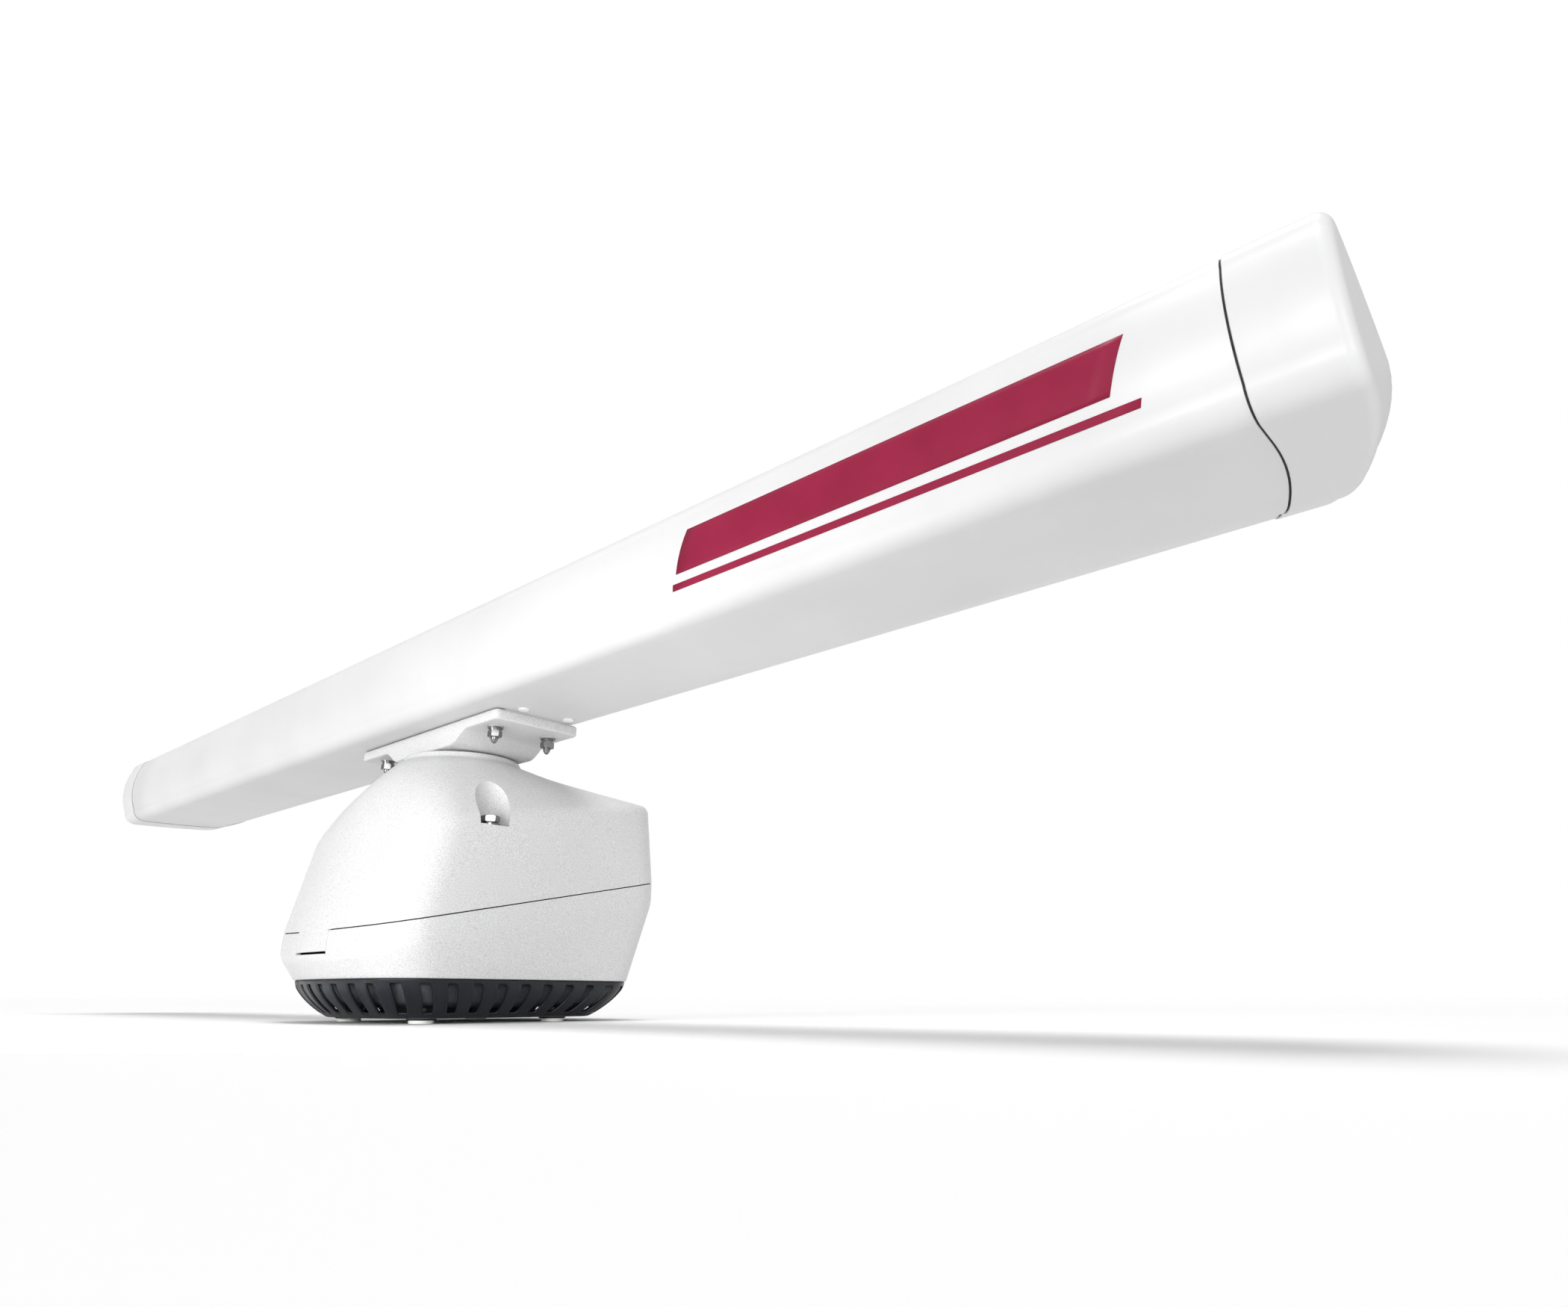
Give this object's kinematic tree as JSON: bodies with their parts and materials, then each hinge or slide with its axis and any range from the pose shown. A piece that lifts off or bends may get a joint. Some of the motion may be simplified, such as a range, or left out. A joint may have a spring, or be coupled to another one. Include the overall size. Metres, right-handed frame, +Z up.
{
  "type": "open array marine radar antenna",
  "caption": "Bar-shaped radar antenna turning on a bracket above a tapered, hinged pedestal with a slotted base and raised feet.",
  "frame": {"origin": "where the antenna's turning axis meets the plane that the feet stand on", "axes": "+Z up along the turning axis; +X along the bar at rest; the bar's radiating face looks towards -Y, over the pedestal's low end"},
  "size_m": [1.916, 0.3585, 0.4121],
  "materials": {
    "white_gelcoat": "satin white gelcoat",
    "white_casting": "speckled satin white paint on cast aluminium",
    "black_plastic": "blue-black satin moulding",
    "pad_nylon": "off-white nylon",
    "stainless": "passivated stainless",
    "bearing_steel": "ground steel",
    "bare_aluminium": "machined",
    "black_rubber": "matt",
    "gear_acetal": "machined acetal",
    "brass": "machined",
    "green_board": "solder-masked board",
    "dark_case": "black anodised",
    "foam": "closed-cell foam"
  },
  "bodies": {
    "pedestal": {"base_grille": "black_plastic", "foot_pads": "pad_nylon", "mounting_inserts": "stainless", "lower_housing": "white_casting", "parting_seal": "black_rubber", "hinge_leaf": "stainless", "hinge_pin": "stainless", "chassis_tray": "bare_aluminium", "tray_standoffs": "brass", "power_supply": "bare_aluminium", "interface_board": "green_board", "board_standoffs": "brass", "board_components": "dark_case", "heat_sink": "dark_case", "fan_frames": "black_plastic", "switch_bezel": "black_plastic", "power_socket": "black_plastic", "network_socket": "black_plastic", "ground_stud": "brass", "ground_nut_and_washer": "brass"},
    "cover": {"upper_housing": "white_casting", "captive_bolts": "stainless", "captive_bolt_washers": "stainless", "bearing_outer_rings": "bearing_steel", "bearing_balls": "bearing_steel", "bearing_housing": "bare_aluminium", "neck_lip_seal": "black_rubber", "drive_motor": "dark_case", "drive_plate": "bare_aluminium", "drive_plate_screws": "stainless", "rotary_joint_stator": "bare_aluminium", "transceiver": "bare_aluminium", "waveguide_flange": "brass", "transceiver_hangers": "bare_aluminium", "position_sensor": "dark_case"},
    "scanner": {"main_shaft": "stainless", "bearing_inner_rings": "bearing_steel", "main_gear": "gear_acetal", "rotary_joint_rotor": "brass", "turning_bracket": "white_casting", "bracket_screws": "stainless", "array_gasket": "black_rubber", "nylon_washers": "pad_nylon", "flat_washers": "stainless", "spring_washers": "stainless", "stud_nuts": "stainless", "array_studs": "stainless", "array_shell": "white_gelcoat", "underside_plugs": "pad_nylon", "end_cap_right": "white_gelcoat", "end_cap_left": "white_gelcoat", "slotted_waveguide": "bare_aluminium", "horn_flare": "bare_aluminium", "foam_core": "foam", "feed_waveguide": "brass"},
    "pinion": {"motor_shaft": "stainless", "drive_pinion": "brass"},
    "front_fan": {"fan_rotor_front": "black_plastic"},
    "rear_fan": {"fan_rotor_rear": "black_plastic"},
    "switch": {"power_switch": "black_plastic"}
  },
  "joints": [
    {"name": "cover_hinge", "type": "hinge", "parent": "pedestal", "child": "cover", "pos_m": [0, -0.136, 0.08], "axis": [1, 0, 0], "range_deg": [0, 28]},
    {"name": "antenna_spin", "type": "hinge", "parent": "cover", "child": "scanner", "pos_m": [0, 0, 0.279], "axis": [0, 0, 1], "continuous": true},
    {"name": "pinion_spin", "type": "hinge", "parent": "cover", "child": "pinion", "pos_m": [0, 0.09, 0.229], "axis": [0, 0, 1], "continuous": true},
    {"name": "front_fan_spin", "type": "hinge", "parent": "pedestal", "child": "front_fan", "pos_m": [0, -0.012, 0.015], "axis": [0, 0, 1], "continuous": true},
    {"name": "rear_fan_spin", "type": "hinge", "parent": "pedestal", "child": "rear_fan", "pos_m": [0, 0.056, 0.015], "axis": [0, 0, 1], "continuous": true},
    {"name": "power_rocker", "type": "hinge", "parent": "pedestal", "child": "switch", "pos_m": [-0.046, 0.199, 0.092], "axis": [1, 0, 0], "range_deg": [0, 14]}
  ],
  "couplings": [
    {"joint": "pinion_spin", "follows": "antenna_spin", "ratio": -5}
  ]
}
